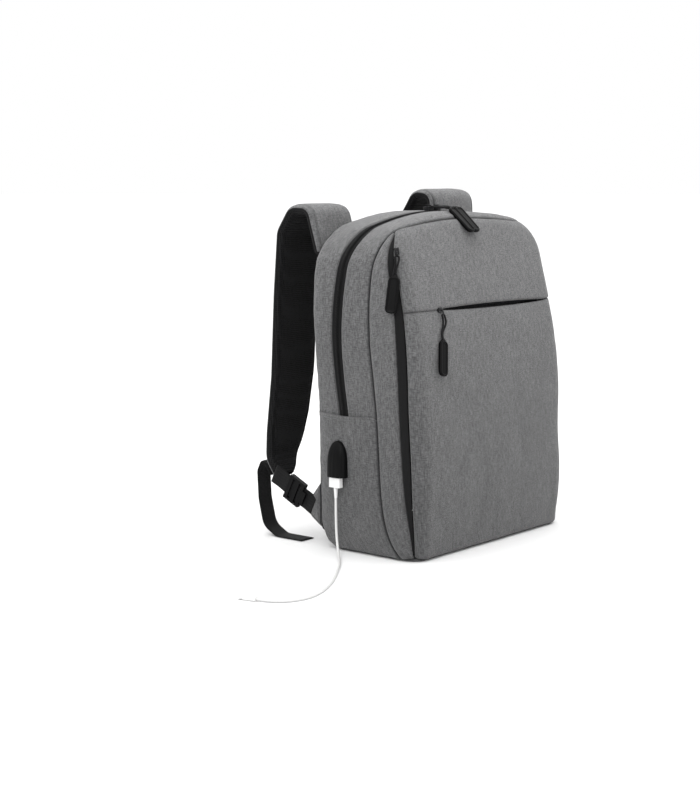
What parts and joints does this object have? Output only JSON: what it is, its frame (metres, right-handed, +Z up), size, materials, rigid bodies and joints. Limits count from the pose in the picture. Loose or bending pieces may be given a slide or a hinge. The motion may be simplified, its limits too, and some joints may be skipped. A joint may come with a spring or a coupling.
{
  "type": "laptop backpack",
  "caption": "Grey fabric laptop daypack with padded shoulder straps, zipped front section, side pockets, rubber-hooded charging port and a white charging lead.",
  "frame": {"origin": "middle of the flat base, on the surface that the bag stands on", "axes": "+Z up, -Y to the front of the bag, +Y to the side worn against the back, +X to the right seen from the front"},
  "size_m": [0.5595, 0.2615, 0.4253],
  "materials": {
    "heather_fabric": "melange grey plain-weave polyester, matte",
    "zip_tape": "black woven zip tape with moulded coil",
    "lining_fabric": "dark woven lining",
    "air_mesh": "black spacer mesh",
    "foam": "closed-cell foam",
    "webbing": "black ribbed webbing",
    "black_plastic": "black moulded acetal",
    "black_rubber": "black soft rubber, satin",
    "pull_cord": "black braided cord",
    "slider_metal": "black enamelled zip slider",
    "white_plastic": "white moulded plastic and cable jacket"
  },
  "bodies": {
    "pack": {"anchor_tab_left": "heather_fabric", "anchor_tab_right": "heather_fabric", "back_pads": "air_mesh", "back_panel": "air_mesh", "base_board": "black_plastic", "base_panel": "heather_fabric", "charging_cable": "white_plastic", "laptop_sleeve": "lining_fabric", "lower_corner_panel": "heather_fabric", "lower_corner_zip_tape": "zip_tape", "lower_front_panel": "heather_fabric", "lower_side_left": "heather_fabric", "lower_side_right": "heather_fabric", "lower_webbing_left": "webbing", "lower_webbing_right": "webbing", "main_zip_tape_rear": "zip_tape", "phone_connector": "white_plastic", "rear_gusset": "heather_fabric", "shoulder_yoke": "heather_fabric", "side_pocket_left": "heather_fabric", "side_pocket_right": "heather_fabric", "usb_hood": "black_rubber", "usb_plug": "white_plastic", "usb_socket": "black_plastic"},
    "front_section": {"front_gusset": "heather_fabric", "main_zip_tape_front": "zip_tape", "upper_front_panel": "heather_fabric", "front_pocket_panel": "heather_fabric", "corner_panel": "heather_fabric", "corner_zip_tape": "zip_tape", "front_zip_tapes": "zip_tape", "front_pocket_lining": "lining_fabric"},
    "main_slider_left": {"main_slider_left": "slider_metal"},
    "main_slider_right": {"main_slider_right": "slider_metal"},
    "corner_slider": {"corner_slider": "slider_metal"},
    "front_slider": {"front_slider": "slider_metal"},
    "main_pull_left": {"main_pull_cord_left": "pull_cord", "main_pull_grip_left": "black_rubber"},
    "main_pull_right": {"main_pull_cord_right": "pull_cord", "main_pull_grip_right": "black_rubber"},
    "corner_pull": {"corner_pull_cord": "pull_cord", "corner_pull_grip": "black_rubber"},
    "front_pull": {"front_pull_cord": "pull_cord", "front_pull_grip": "black_rubber"},
    "strap_left": {"strap_left_cover": "heather_fabric", "strap_left_foam": "foam", "strap_left_mesh": "air_mesh", "strap_left_end_webbing": "webbing", "ladder_lock_left": "black_plastic", "webbing_tail_left": "webbing"},
    "strap_right": {"strap_right_cover": "heather_fabric", "strap_right_foam": "foam", "strap_right_mesh": "air_mesh", "strap_right_end_webbing": "webbing", "ladder_lock_right": "black_plastic", "webbing_tail_right": "webbing"},
    "carry_handle": {"carry_handle": "webbing"}
  },
  "joints": [
    {"name": "front_opening", "type": "hinge", "parent": "pack", "child": "front_section", "pos_m": [0, -0.0738, 0.165], "axis": [1, 0, 0], "range_deg": [0, 30]},
    {"name": "main_zip_left", "type": "hinge", "parent": "front_section", "child": "main_slider_left", "pos_m": [0, 0.023, -0.02], "axis": [0, 1, 0], "range_deg": [-5.7, 0]},
    {"name": "main_zip_right", "type": "hinge", "parent": "front_section", "child": "main_slider_right", "pos_m": [0, 0.023, -0.4], "axis": [0, 1, 0], "range_deg": [0, 3.2]},
    {"name": "corner_zip", "type": "hinge", "parent": "front_section", "child": "corner_slider", "pos_m": [0.10827, 0.49554, 0.15236], "axis": [0.909, -0.4136, 0.0525], "range_deg": [0, 14]},
    {"name": "front_zip", "type": "slide", "parent": "front_section", "child": "front_slider", "axis": [1, 0, 0], "range_m": [0, 0.21]},
    {"name": "main_pull_left_swing", "type": "hinge", "parent": "main_slider_left", "child": "main_pull_left", "pos_m": [-0.00761, 0.0164, 0.40583], "axis": [-0.9998, 0, -0.0179], "range_deg": [0, 140]},
    {"name": "main_pull_right_swing", "type": "hinge", "parent": "main_slider_right", "child": "main_pull_right", "pos_m": [0.00756, 0.0164, 0.40586], "axis": [-1, 0, 0.0094], "range_deg": [0, 140]},
    {"name": "corner_pull_swing", "type": "hinge", "parent": "corner_slider", "child": "corner_pull", "pos_m": [-0.149, -0.039, 0.3505], "axis": [0, 1, 0], "range_deg": [0, 80]},
    {"name": "front_pull_swing", "type": "hinge", "parent": "front_slider", "child": "front_pull", "pos_m": [-0.092, -0.063, 0.282], "axis": [-1, 0, 0], "range_deg": [0, 95]},
    {"name": "strap_left_swing", "type": "hinge", "parent": "pack", "child": "strap_left", "pos_m": [-0.1125, 0.082, 0.366], "axis": [1, 0, 0], "range_deg": [0, 6]},
    {"name": "strap_right_swing", "type": "hinge", "parent": "pack", "child": "strap_right", "pos_m": [0.1125, 0.082, 0.366], "axis": [1, 0, 0], "range_deg": [0, 6]},
    {"name": "carry_handle_lift", "type": "hinge", "parent": "pack", "child": "carry_handle", "pos_m": [0, 0.0865, 0.379], "axis": [1, 0, 0], "range_deg": [0, 165]}
  ]
}
